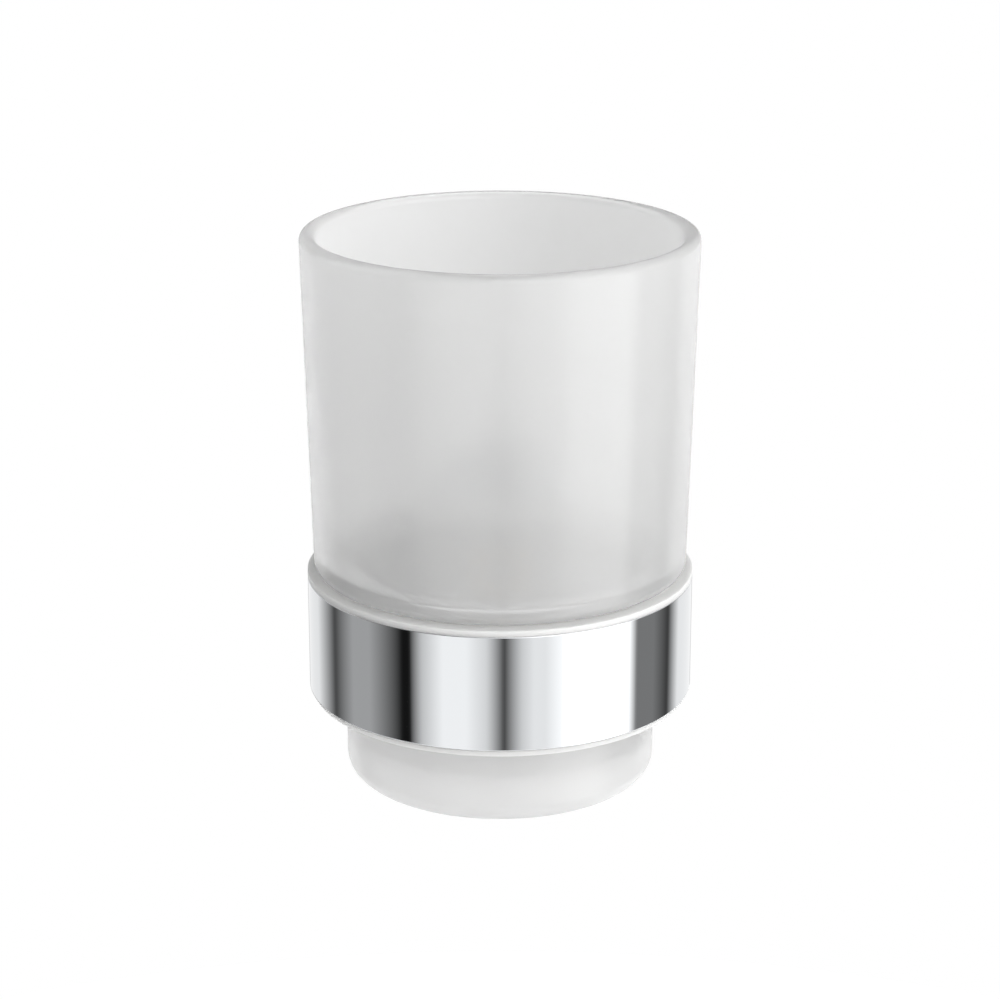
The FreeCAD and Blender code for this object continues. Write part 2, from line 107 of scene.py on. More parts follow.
def outline_of(corners: Sequence[Corner]) -> list[Point]:
    """Turns a half-section's corners into points, with an arc at each rounded corner.

    Args:
        corners: The corners in order. The outline is closed, so the first follows the last.

    Returns:
        The points, as (radius, height) in mm.
    """
    points: list[Point] = []
    for before, corner, after in zip(corners[-1:] + corners[:-1], corners, corners[1:] + corners[:1]):
        here = Vector((corner.radius, corner.height))
        if corner.rounding == 0.0:
            points.append((here.x, here.y))
            continue
        back = (Vector((before.radius, before.height)) - here).normalized()
        ahead = (Vector((after.radius, after.height)) - here).normalized()
        half = back.angle(ahead) / 2
        centre = here + (back + ahead).normalized() * corner.rounding / math.sin(half)
        spoke = here + back * corner.rounding / math.tan(half) - centre
        sweep = math.copysign(math.pi - 2 * half, ahead.x * back.y - ahead.y * back.x)
        for step in range(ARC_STEPS + 1):
            point = centre + Matrix.Rotation(sweep * step / ARC_STEPS, 2) @ spoke
            points.append((point.x, point.y))
    return points


def full_turn(outline: list[Point], steps: int = TURN_STEPS) -> list[Spoke]:
    """Repeats one outline evenly all the way round an axis."""
    return [(2 * math.pi * step / steps, outline) for step in range(steps)]


def new_piece(name: str, shape: bmesh.types.BMesh) -> bpy.types.Object:
    """Makes a smooth-shaded object of a built shape.

    Args:
        name: The object's name.
        shape: The shape, in metres in the row frame. It is freed.

    Returns:
        The new object.
    """
    bmesh.ops.remove_doubles(shape, verts=shape.verts, dist=WELD)
    bmesh.ops.recalc_face_normals(shape, faces=shape.faces)
    mesh = bpy.data.meshes.new(name)
    shape.to_mesh(mesh)
    shape.free()
    mesh.shade_smooth()
    mesh.set_sharp_from_angle(angle=math.radians(CREASE_DEGREES))
    piece = bpy.data.objects.new(name, mesh)
    bpy.context.scene.collection.objects.link(piece)
    weighting = piece.modifiers.new("even_shading", "WEIGHTED_NORMAL")
    weighting.keep_sharp = True
    return piece


def turned(name: str, spokes: Sequence[Spoke], place: Matrix) -> bpy.types.Object:
    """Makes a turned piece from the outlines that stand round its axis.

    Args:
        name: The piece's name.
        spokes: Angles in radians, each with the closed outline there. All have as many points.
        place: The matrix from the piece's millimetres to the row frame.

    Returns:
        The new piece.
    """
    shape = bmesh.new()
    columns = []
    for angle, outline in spokes:
        across, depth = math.cos(angle), math.sin(angle)
        columns.append([shape.verts.new(place @ Vector((r * across, r * depth, z))) for r, z in outline])
    for column, following in zip(columns, columns[1:] + columns[:1]):
        for low in range(len(column)):
            high = (low + 1) % len(column)
            if spokes[0][1][low][0] > 0 or spokes[0][1][high][0] > 0:
                shape.faces.new((column[low], following[low], following[high], column[high]))
    return new_piece(name, shape)


def drilled(piece: bpy.types.Object, place: Matrix, radius: float, depth: float) -> None:
    """Drills a round hole into a piece, which gets a new mesh.

    Args:
        piece: The piece.
        place: The matrix from the hole's millimetres, with its axis upright, to the row frame.
        radius: The hole's radius, in mm.
        depth: How far the hole reaches along its axis, in mm.
    """
    ends = [Corner(0.0, 0.0), Corner(radius, 0.0), Corner(radius, depth), Corner(0.0, depth)]
    drill = turned("drill", full_turn(outline_of(ends), SCREW_STEPS), place)
    cut = piece.modifiers.new("hole", "BOOLEAN")
    cut.object = drill
    bpy.context.view_layer.update()
    view = bpy.context.evaluated_depsgraph_get()
    piece.data = bpy.data.meshes.new_from_object(piece.evaluated_get(view))
    piece.modifiers.remove(cut)
    bpy.data.objects.remove(drill)


@dataclass(frozen=True)
class Thread:
    """Ridge rolled round a shank, in mm, with its heights along the shank."""

    start: float
    end: float
    crest: float
    core: float
    pitch: float
    steepness: float = 2.0
    point: float = 0.0

    def profile(self, angle: float) -> list[Point]:
        """Outline of the thread in one half-plane through its axis.

        Args:
            angle: The half-plane's angle, in radians.

        Returns:
            Points from the start to the end, narrowing to the point where there is one.
        """
        steps = round((self.end - self.start) / self.pitch * THREAD_STEPS)
        points: list[Point] = []
        for step in range(steps + 1):
            along = (self.end - self.start) * step / steps
            turn = along / self.pitch - angle / math.tau
            ridge = max(0.0, 1.0 - self.steepness * abs(turn % 1.0 - 0.5))
            run_in = min(1.0, along / self.pitch)
            narrowing = min(1.0, (self.end - self.start - along) / self.point) if self.point else 1.0
            radius = (self.core + (self.crest - self.core) * ridge * run_in) * narrowing
            points.append((radius, self.start + along))
        return points


def hexagon(angle: float, width: float) -> float:
    """Radius of a hexagonal socket at one angle, from its width across flats."""
    return width / 2 / math.cos(angle % (math.pi / 3) - math.pi / 6)


def cross(angle: float, arm: float, flank: float) -> float:
    """Radius of a cross-shaped recess at one angle, from half its arms' length and width."""
    longer, shorter = sorted((abs(math.cos(angle)), abs(math.sin(angle))), reverse=True)
    return arm / longer if shorter * arm <= flank * longer else flank / shorter


def linear(colour: str) -> tuple[float, float, float, float]:
    """Turns an sRGB hex colour to the linear values that a shader takes.

    Args:
        colour: The colour, as #RRGGBB.

    Returns:
        Linear red, green and blue, and a full alpha.
    """
    shares = [int(colour[at : at + 2], 16) / 255 for at in (1, 3, 5)]
    red, green, blue = (c / 12.92 if c <= 0.04045 else ((c + 0.055) / 1.055) ** 2.4 for c in shares)
    return red, green, blue, 1.0


def per_metre(size_mm: float) -> float:
    """Texture scale that gives features of one real size, for object coordinates in metres."""
    return 1 / (size_mm * MM)


def add_node(
    tree: bpy.types.NodeTree, kind: str, settings: dict[str, Any], inputs: dict[Any, Any]
) -> bpy.types.Node:
    """Adds a node with its settings, values and links.

    Args:
        tree: The node tree.
        kind: The node's Blender type.
        settings: The node's own properties.
        inputs: What each input holds: a value, or another node's output socket to link.

    Returns:
        The new node.
    """
    node = tree.nodes.new(kind)
    for name, value in settings.items():
        setattr(node, name, value)
    for name, value in inputs.items():
        if isinstance(value, bpy.types.NodeSocket):
            tree.links.new(value, node.inputs[name])
        else:
            node.inputs[name].default_value = value
    return node


def new_material(name: str) -> tuple[bpy.types.Material, bpy.types.NodeTree, bpy.types.Node]:
    """Makes a material with a bare Principled surface.

    Args:
        name: The material's name.

    Returns:
        The material, its node tree and its Principled node.
    """
    material = bpy.data.materials.new(name)
    material.use_nodes = True
    tree = material.node_tree
    tree.nodes.clear()
    surface = add_node(tree, "ShaderNodeBsdfPrincipled", {}, {})
    add_node(tree, "ShaderNodeOutputMaterial", {}, {"Surface": surface.outputs["BSDF"]})
    return material, tree, surface


@dataclass(frozen=True)
class FrostedGlass:
    """Pressed soda glass, frosted all over in an acid bath."""

    colour: str = "#FBFBFB"
    clearest: float = 0.13
    cloudiest: float = 0.15
    see_through: float = 0.7
    veil: float = 0.17
    foot_roughness: float = 0.04
    foot_veil: float = 0.22
    foot_top: float = -4.0
    foot_low: float = -14.0
    cloud_mm: float = 18.0
    grain_mm: float = 0.5
    grain_depth_mm: float = 0.02
    grain_strength: float = 0.1
    refraction: float = 1.5

    def material(self) -> bpy.types.Material:
        """Milky and even; what lies close behind it shows through softly, and what is far is lost.

        Returns:
            The material.
        """
        material, tree, surface = new_material("frosted_soda_glass")
        where = add_node(tree, "ShaderNodeTexCoord", {}, {}).outputs["Object"]
        clouds = add_node(
            tree,
            "ShaderNodeTexNoise",
            {},
            {"Vector": where, "Scale": per_metre(self.cloud_mm), "Detail": 3.0},
        )
        haze = add_node(
            tree,
            "ShaderNodeMapRange",
            {},
            {
                "Value": clouds.outputs["Fac"],
                "From Min": 0.3,
                "From Max": 0.7,
                "To Min": self.clearest,
                "To Max": self.cloudiest,
            },
        )
        # The foot lies deepest in the acid, so it is frosted a little more heavily and hides its inside.
        height = add_node(tree, "ShaderNodeSeparateXYZ", {}, {"Vector": where})
        heavier = add_node(
            tree,
            "ShaderNodeMapRange",
            {},
            {
                "Value": height.outputs["Z"],
                "From Min": self.foot_low * MM,
                "From Max": self.foot_top * MM,
                "To Min": 1.0,
                "To Max": 0.0,
            },
        ).outputs["Result"]
        rough = add_node(
            tree,
            "ShaderNodeMath",
            {"operation": "MULTIPLY_ADD"},
            {0: heavier, 1: self.foot_roughness, 2: haze.outputs["Result"]},
        )
        veil = add_node(
            tree,
            "ShaderNodeMath",
            {"operation": "MULTIPLY_ADD"},
            {0: heavier, 1: self.foot_veil, 2: self.veil},
        )
        # The acid's own grain is near 0.05 mm; it is drawn ten times coarser so that it shows.
        grain = add_node(
            tree,
            "ShaderNodeTexNoise",
            {},
            {"Vector": where, "Scale": per_metre(self.grain_mm), "Detail": 1.0},
        )
        frost = add_node(
            tree,
            "ShaderNodeBump",
            {},
            {
                "Height": grain.outputs["Fac"],
                "Strength": self.grain_strength,
                "Distance": self.grain_depth_mm * MM,
            },
        )
        surface.inputs["Base Color"].default_value = linear(self.colour)
        surface.inputs["IOR"].default_value = self.refraction
        surface.inputs["Transmission Weight"].default_value = self.see_through
        tree.links.new(rough.outputs["Value"], surface.inputs["Roughness"])
        tree.links.new(frost.outputs["Normal"], surface.inputs["Normal"])
        # The etched skin also scatters light straight through, which fills its shadows with white.
        glow = add_node(
            tree,
            "ShaderNodeBsdfTranslucent",
            {},
            {"Color": linear(self.colour), "Normal": frost.outputs["Normal"]},
        )
        both = add_node(
            tree,
            "ShaderNodeMixShader",
            {},
            {0: veil.outputs["Value"], 1: surface.outputs["BSDF"], 2: glow.outputs["BSDF"]},
        )
        tree.links.new(both.outputs["Shader"], tree.nodes["Material Output"].inputs["Surface"])
        return material


@dataclass(frozen=True)
class ChromePlate:
    """Bright chrome, electroplated on polished brass."""

    colour: str = "#D6D8DA"
    polished: float = 0.02
    wiped: float = 0.05
    smear_mm: float = 12.0

    def material(self) -> bpy.types.Material:
        """A cold mirror, with faint dried smears that only dull its reflections a little.

        Returns:
            The material.
        """
        material, tree, surface = new_material("polished_chrome_plate")
        where = add_node(tree, "ShaderNodeTexCoord", {}, {}).outputs["Object"]
        smears = add_node(
            tree,
            "ShaderNodeTexNoise",
            {},
            {"Vector": where, "Scale": per_metre(self.smear_mm), "Detail": 4.0},
        )
        gloss = add_node(
            tree,
            "ShaderNodeMapRange",
            {},
            {
                "Value": smears.outputs["Fac"],
                "From Min": 0.35,
                "From Max": 0.75,
                "To Min": self.polished,
                "To Max": self.wiped,
            },
        )
        surface.inputs["Base Color"].default_value = linear(self.colour)
        surface.inputs["Metallic"].default_value = 1.0
        tree.links.new(gloss.outputs["Result"], surface.inputs["Roughness"])
        return material


@dataclass(frozen=True)
class MilkyPlastic:
    """Natural polypropylene, injection moulded in a spark-eroded tool."""

    colour: str = "#F2F2F0"
    roughness: float = 0.38
    texture_mm: float = 0.5
    texture_depth_mm: float = 0.02
    texture_strength: float = 0.15
    refraction: float = 1.49
    milkiness: float = 0.9
    light_reach_mm: float = 2.5

    def material(self) -> bpy.types.Material:
        """Satin and milky, with a soft edge where light sinks in and comes out again.

        Returns:
            The material.
        """
        material, tree, surface = new_material("moulded_milky_polypropylene")
        where = add_node(tree, "ShaderNodeTexCoord", {}, {}).outputs["Object"]
        # A spark-eroded mould leaves grains near 0.1 mm; they are drawn coarser so that they show.
        grains = add_node(
            tree,
            "ShaderNodeTexNoise",
            {},
            {"Vector": where, "Scale": per_metre(self.texture_mm), "Detail": 2.0},
        )
        relief = add_node(
            tree,
            "ShaderNodeBump",
            {},
            {
                "Height": grains.outputs["Fac"],
                "Strength": self.texture_strength,
                "Distance": self.texture_depth_mm * MM,
            },
        )
        surface.inputs["Base Color"].default_value = linear(self.colour)
        surface.inputs["Roughness"].default_value = self.roughness
        surface.inputs["IOR"].default_value = self.refraction
        surface.inputs["Subsurface Weight"].default_value = self.milkiness
        surface.inputs["Subsurface Radius"].default_value = (1.0, 1.0, 1.0)
        surface.inputs["Subsurface Scale"].default_value = self.light_reach_mm * MM
        tree.links.new(relief.outputs["Normal"], surface.inputs["Normal"])
        return material


@dataclass(frozen=True)
class BareMetal:
    """Metal left as the machine leaves it: turned brass, or steel under a thin zinc."""

    name: str
    light: str
    dark: str
    roughness: float
    patch_mm: float
    line_mm: float
    line_depth_mm: float = 0.01
    line_strength: float = 0.2

    def material(self) -> bpy.types.Material:
        """Soft grey or yellow gloss, with fine tool lines and slightly darker patches.

        Returns:
            The material.
        """
        material, tree, surface = new_material(self.name)
        where = add_node(tree, "ShaderNodeTexCoord", {}, {}).outputs["Object"]
        patches = add_node(
            tree,
            "ShaderNodeTexNoise",
            {},
            {"Vector": where, "Scale": per_metre(self.patch_mm), "Detail": 3.0},
        )
        tint = add_node(
            tree,
            "ShaderNodeMix",
            {"data_type": "RGBA"},
            {"Factor": patches.outputs["Fac"], "A": linear(self.light), "B": linear(self.dark)},
        )
        # Tool lines lie near 0.1 mm apart; they are drawn at line_mm, far coarser, so that they show.
        line_scale = per_metre(self.line_mm) * math.tau / WAVE_RADIANS
        lines = add_node(
            tree,
            "ShaderNodeTexWave",
            {"bands_direction": "Y"},
            {"Vector": where, "Scale": line_scale, "Distortion": 1.5, "Detail": 1.0},
        )
        relief = add_node(
            tree,
            "ShaderNodeBump",
            {},
            {
                "Height": lines.outputs["Fac"],
                "Strength": self.line_strength,
                "Distance": self.line_depth_mm * MM,
            },
        )
        tree.links.new(tint.outputs["Result"], surface.inputs["Base Color"])
        surface.inputs["Metallic"].default_value = 1.0
        surface.inputs["Roughness"].default_value = self.roughness
        tree.links.new(relief.outputs["Normal"], surface.inputs["Normal"])
        return material


def dress_node(name: str, material: bpy.types.Material) -> None:
    """Gives a CAD node a finish through its material slots.

    Args:
        name: The node's name.
        material: The finish.
    """
    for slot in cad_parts[name].material_slots:
        slot.material = material
    LOG.info("%s dressed in %s", name, material.name)


def finish_piece(
    piece: bpy.types.Object, material: bpy.types.Material, body: str, node: str
) -> None:
    """Dresses a built piece and hangs it on its body in place of a CAD node.

    Args:
        piece: The piece.
        material: Its finish.
        body: The body that it rides on.
        node: The CAD node that it stands for.
    """
    piece.data.materials.append(material)
    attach(piece, body)
    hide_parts(node)
    LOG.info("%s stands for %s in %s", piece.name, node, material.name)


@dataclass
class Tumbler:
    """The glass: a flared body, a rounded shoulder that it hangs by, and a straight foot. Sizes in mm."""

    finish: FrostedGlass
    foot_radius: float = 30.3
    foot_length: float = 42.1
    shoulder_radius: float = 36.15
    rim_flare: float = 1.7
    wall: float = 3.0
    base: float = 6.0
    foot_round: float = 4.0
    shoulder_round: float = 2.2
    step_round: float = 2.4
    step_root_round: float = 0.8
    root_round: float = 0.6
    floor_round: float = 5.0
    rim_round: float = 1.45
    punt_radius: float = 23.7
    punt_depth: float = 1.0
    punt_round: float = 0.6

    def corners(self) -> list[Corner]:
        """Half-section of the glass, from the underside outwards, up the outside and down the inside.

        Returns:
            The corners, with heights from the foot's underside.
        """
        low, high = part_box("tumbler")
        rim = self.shoulder_radius + self.rim_flare
        height = (high[2] - low[2]) / MM
        step = self.foot_length + self.wall
        return [
            Corner(0.0, self.punt_depth),
            Corner(self.punt_radius, self.punt_depth),
            Corner(self.punt_radius, 0.0, self.punt_round),
            Corner(self.foot_radius, 0.0, self.foot_round),
            Corner(self.foot_radius, self.foot_length, self.root_round),
            Corner(self.shoulder_radius, self.foot_length, self.shoulder_round),
            Corner(rim, height, self.rim_round),
            Corner(rim - self.wall, height, self.rim_round),
            Corner(self.shoulder_radius - self.wall, step, self.step_root_round),
            Corner(self.foot_radius - self.wall, step, self.step_round),
            Corner(self.foot_radius - self.wall, self.base, self.floor_round),
            Corner(0.0, self.base),
        ]

    def build(self) -> None:
        """Turns the glass and dresses it."""
        low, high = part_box("tumbler")
        middle = (low[1] + high[1]) / 2
        place = Axis.UP.place(0.0, middle / MM, low[2] / MM)
        glass = turned("frosted_tumbler", full_turn(outline_of(self.corners())), place)
        finish_piece(glass, self.finish.material(), "glass", "tumbler")


@dataclass
class LinedRing:
    """The chrome band and its two plastic liners. Sizes in mm."""

    metal: bpy.types.Material
    plastic: bpy.types.Material
    radius: float = 37.5
    bore: float = 35.9
    edge_round: float = 0.2
    seat_bore: float = 31.1
    sleeve_inside: float = 34.2
    sleeve_outside: float = 35.8
    sleeve_length: float = 10.0
    flange: float = 1.2
    flange_round: float = 0.25
    ledge_round: float = 1.0
    lip: float = 1.4
    lip_setback: float = 0.8
    notch_half_width: float = 7.3
    notch_depth: float = 4.05

    def build(self) -> None:
        """Turns the band and both liners and dresses them."""
        self.build_band()
        self.build_seat()
        self.build_guide()

    def place_of(self, node: str) -> Matrix:
        """Matrix of a ring piece whose own heights start at the node's underside."""
        low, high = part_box(node)
        return Axis.UP.place(0.0, (low[1] + high[1]) / 2 / MM, low[2] / MM)

    def build_band(self) -> None:
        """Turns the chrome band, with its outer edges broken."""
        low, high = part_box("holder_ring")
        height = (high[2] - low[2]) / MM
        corners = [
            Corner(self.bore, 0.0),
            Corner(self.radius, 0.0, self.edge_round),
            Corner(self.radius, height, self.edge_round),
            Corner(self.bore, height),
        ]
        band = turned("chrome_band", full_turn(outline_of(corners)), self.place_of("holder_ring"))
        finish_piece(band, self.metal, "holder", "holder_ring")

    def keyed(self, outline: list[Point], notched: list[Point]) -> list[Spoke]:
        """Spokes of a liner with a notch at its back that keys it to the nut.

        Args:
            outline: The liner's outline.
            notched: Its outline inside the notch.

        Returns:
            The spokes, once round.
        """
        half = math.asin(self.notch_half_width / self.sleeve_outside)
        back = math.pi / 2
        sweep = 2 * (math.pi - half)
        around = [(back + half + sweep * step / TURN_STEPS, outline) for step in range(TURN_STEPS + 1)]
        gap = [(back - half + 2 * half * step / NOTCH_STEPS, notched) for step in range(NOTCH_STEPS + 1)]
        return around + gap

    def build_seat(self) -> None:
        """Turns the upper liner: the flange that the glass stands on, and a notched sleeve."""
        top = self.sleeve_length + self.flange
        corners = [
            Corner(self.sleeve_inside, 0.0),
            Corner(self.sleeve_outside, 0.0),
            Corner(self.sleeve_outside, self.notch_depth),
            Corner(self.sleeve_outside, self.sleeve_length),
            Corner(self.radius, self.sleeve_length),
            Corner(self.radius, top, self.flange_round),
            Corner(self.seat_bore, top, self.flange_round),
            Corner(self.seat_bore, self.sleeve_length),
            Corner(self.sleeve_inside, self.sleeve_length, self.ledge_round),
            Corner(self.sleeve_inside, self.notch_depth),
        ]
        outline = outline_of(corners)
        notched = [(r, max(z, self.notch_depth)) for r, z in outline]
        seat = turned("seat_liner", self.keyed(outline, notched), self.place_of("seat_ring"))
        finish_piece(seat, self.plastic, "holder", "seat_ring")

    def build_guide(self) -> None:
        """Turns the lower liner: a bevelled lip under the band, and a notched sleeve."""
        top = self.lip + self.sleeve_length
        notch = top - self.notch_depth
        corners = [
            Corner(self.seat_bore, 0.0, self.flange_round),
            Corner(self.radius - self.lip_setback, 0.0, self.flange_round),
            Corner(self.radius, self.lip),
            Corner(self.sleeve_outside, self.lip),
            Corner(self.sleeve_outside, notch),
            Corner(self.sleeve_outside, top),
            Corner(self.sleeve_inside, top),
            Corner(self.sleeve_inside, notch),
            Corner(self.sleeve_inside, self.lip, self.ledge_round),
            Corner(self.seat_bore, self.lip),
        ]
        outline = outline_of(corners)
        notched = [(r, min(z, notch)) for r, z in outline]
        guide = turned("guide_liner", self.keyed(outline, notched), self.place_of("guide_ring"))
        finish_piece(guide, self.plastic, "holder", "guide_ring")


@dataclass
class WallFixing:
    """Post, rosette, bracket and screws behind the ring. Sizes in mm, with heights from the wall."""

    metal: bpy.types.Material
    brass: BareMetal = BareMetal("milled_brass_nut", "#C9A65C", "#B48E47", 0.28, 6.0, 1.885)
    steel: BareMetal = BareMetal("turned_bracket_steel", "#C2C3C4", "#A9AAAC", 0.35, 8.0, 2.513)
    zinc: BareMetal = BareMetal("bright_zinc_plated_steel", "#CDD0D3", "#B3B8BC", 0.3, 3.0, 3.142)
    axis_distance: float = 65.0
    saddle_radius: float = 37.55
    bolt_hole: float = 2.75
    post_radius: float = 8.0
    post_round: float = 0.5
    rosette_radius: float = 20.0
    rosette_depth: float = 9.0
    rosette_bore: float = 17.4
    rosette_floor: float = 6.8
    rosette_round: float = 2.5
    rosette_edge_round: float = 0.3
    rosette_floor_round: float = 0.5
    drill_overrun: float = 1.0
    thread_fit: float = 0.05
    grub_radius: float = 1.5
    grub_height: float = 2.5
    grub_tip: float = 0.4
    grub_socket_width: float = 1.5
    grub_socket_depth: float = 1.2
    bolt_head: float = 4.25
    bolt_head_height: float = 5.0
    bolt_head_bevel: float = 0.4
    bolt_knurl: float = 0.15
    bolt_socket_width: float = 4.0
    bolt_socket_depth: float = 2.5
    bolt_radius: float = 2.5
    bolt_thread: Thread = Thread(20.0, 30.75, 2.5, 2.1, 0.8, point=0.6)
    grub_thread: Thread = Thread(0.1, 2.35, 1.5, 1.25, 0.5)
    screw_head: float = 3.7
    screw_shank: float = 1.75
    recess_arm: float = 1.8
    recess_flank: float = 0.45
    recess_depth: float = 1.2
    recess_narrowing: float = 0.6
    screw_thread: Thread = Thread(4.8, 34.8, 2.0, 1.3, 1.8, steepness=3.0, point=5.0)

    def build(self) -> None:
        """Builds the visible pieces and dresses them all."""
        zinc = self.zinc.material()
        self.build_post()
        self.build_rosette()
        self.build_bolt(zinc)
        self.build_grub(zinc)
        for node in ("wall_screw_right", "wall_screw_left"):
            self.build_wall_screw(node, zinc)
        dress_node("saddle_nut", self.brass.material())
        dress_node("wall_bracket", self.steel.material())

    def build_post(self) -> None:
        """Turns the post and hollows its front to the ring's curve."""
        band = self.post_radius - self.bolt_hole
        radii = [self.bolt_hole + band * step / SADDLE_STEPS for step in range(SADDLE_STEPS, -1, -1)]
        spokes = []
        for angle, _ in full_turn([], BAR_STEPS):
            corners = [
                Corner(self.bolt_hole, self.rosette_depth),
                Corner(self.post_radius, self.rosette_depth, self.post_round),
            ]
            for radius in radii:
                across = radius * math.cos(angle)
                reach = self.axis_distance - math.sqrt(self.saddle_radius**2 - across**2)
                corners.append(Corner(radius, reach))
            spokes.append((angle, outline_of(corners)))
        post = turned("chrome_post", spokes, Axis.TO_ROOM.place(0.0, 0.0, 0.0))
        finish_piece(post, self.metal, "holder", "support_post")

    def build_rosette(self) -> None:
        """Turns the cup on the wall and drills the grub screw's hole in its underside."""
        corners = [
            Corner(self.rosette_bore, 0.0),
            Corner(self.rosette_radius, 0.0, self.rosette_edge_round),
            Corner(self.rosette_radius, self.rosette_depth, self.rosette_round),
            Corner(self.bolt_hole, self.rosette_depth),
            Corner(self.bolt_hole, self.rosette_floor),
            Corner(self.rosette_bore, self.rosette_floor, self.rosette_floor_round),
        ]
        place = Axis.TO_ROOM.place(0.0, 0.0, 0.0)
        rosette = turned("chrome_rosette", full_turn(outline_of(corners)), place)
        hole = Axis.UP.place(0.0, -self.grub_height, -self.rosette_radius - self.drill_overrun)
        depth = self.rosette_radius - self.rosette_bore + 2 * self.drill_overrun
        drilled(rosette, hole, self.grub_radius + self.thread_fit, depth)
        finish_piece(rosette, self.metal, "holder", "wall_rosette")

    def build_bolt(self, zinc: bpy.types.Material) -> None:
        """Makes the tie bolt, with a knurled head and a hexagonal socket.

        Args:
            zinc: Its finish.
        """
        _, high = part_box("tie_bolt")
        spokes = []
        for step, (angle, _) in enumerate(full_turn([], BAR_STEPS)):
            socket = hexagon(angle, self.bolt_socket_width)
            side = self.bolt_head - self.bolt_knurl * (step % 2)
            outline = [
                (0.0, self.bolt_socket_depth),
                (socket, self.bolt_socket_depth),
                (socket, 0.0),
                (side - self.bolt_head_bevel, 0.0),
                (side, self.bolt_head_bevel),
                (side, self.bolt_head_height),
                (self.bolt_radius, self.bolt_head_height),
                (self.bolt_radius, self.bolt_thread.start),
            ]
            spokes.append((angle, outline + self.bolt_thread.profile(angle)))
        bolt = turned("socket_head_tie_bolt", spokes, Axis.TO_ROOM.place(0.0, high[1] / MM, 0.0))
        finish_piece(bolt, zinc, "holder", "tie_bolt")

    def build_grub(self, zinc: bpy.types.Material) -> None:
        """Makes the grub screw under the rosette, with a cone point and a hexagonal socket.

        Args:
            zinc: Its finish.
        """
        low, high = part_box("grub_screw")
        length = (high[2] - low[2]) / MM
        spokes = []
        floor = self.grub_socket_depth
        for angle, _ in full_turn([], SCREW_STEPS):
            socket = hexagon(angle, self.grub_socket_width)
            outline = [(0.0, floor), (socket, floor), (socket, 0.0)]
            outline += self.grub_thread.profile(angle) + [(self.grub_tip, length), (0.0, length)]
            spokes.append((angle, outline))
        grub = turned("cone_point_grub_screw", spokes, Axis.UP.place(0.0, -self.grub_height, low[2] / MM))
        finish_piece(grub, zinc, "holder", "grub_screw")

    def build_wall_screw(self, node: str, zinc: bpy.types.Material) -> None:
        """Makes a countersunk wall screw, with a cross recess and a coarse thread.

        Args:
            node: The CAD node that it stands for.
            zinc: Its finish.
        """
        low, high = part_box(node)
        notch = math.atan2(self.recess_flank, self.recess_arm)
        angles = [angle for angle, _ in full_turn([], SCREW_STEPS)]
        angles += [(turn * math.pi / 2 + side * notch) % math.tau for turn in range(4) for side in (-1, 1)]
        spokes = []
        for angle in sorted(angles):
            recess = cross(angle, self.recess_arm, self.recess_flank)
            outline = [
                (0.0, self.recess_depth),
                (recess * self.recess_narrowing, self.recess_depth),
                (recess, 0.0),
                (self.screw_head, 0.0),
                (self.screw_shank, self.screw_head - self.screw_shank),
                (self.screw_shank, self.screw_thread.start),
            ]
            spokes.append((angle, outline + self.screw_thread.profile(angle)))
        place = Axis.TO_WALL.place((low[0] + high[0]) / 2 / MM, low[1] / MM, 0.0)
        screw = turned(f"countersunk_{node}", spokes, place)
        finish_piece(screw, zinc, "holder", node)


@dataclass(frozen=True)
class Card:
    """Upright card or lamp: where it starts and ends round the object, in degrees, and its brightness."""

    start: float
    end: float
    level: float


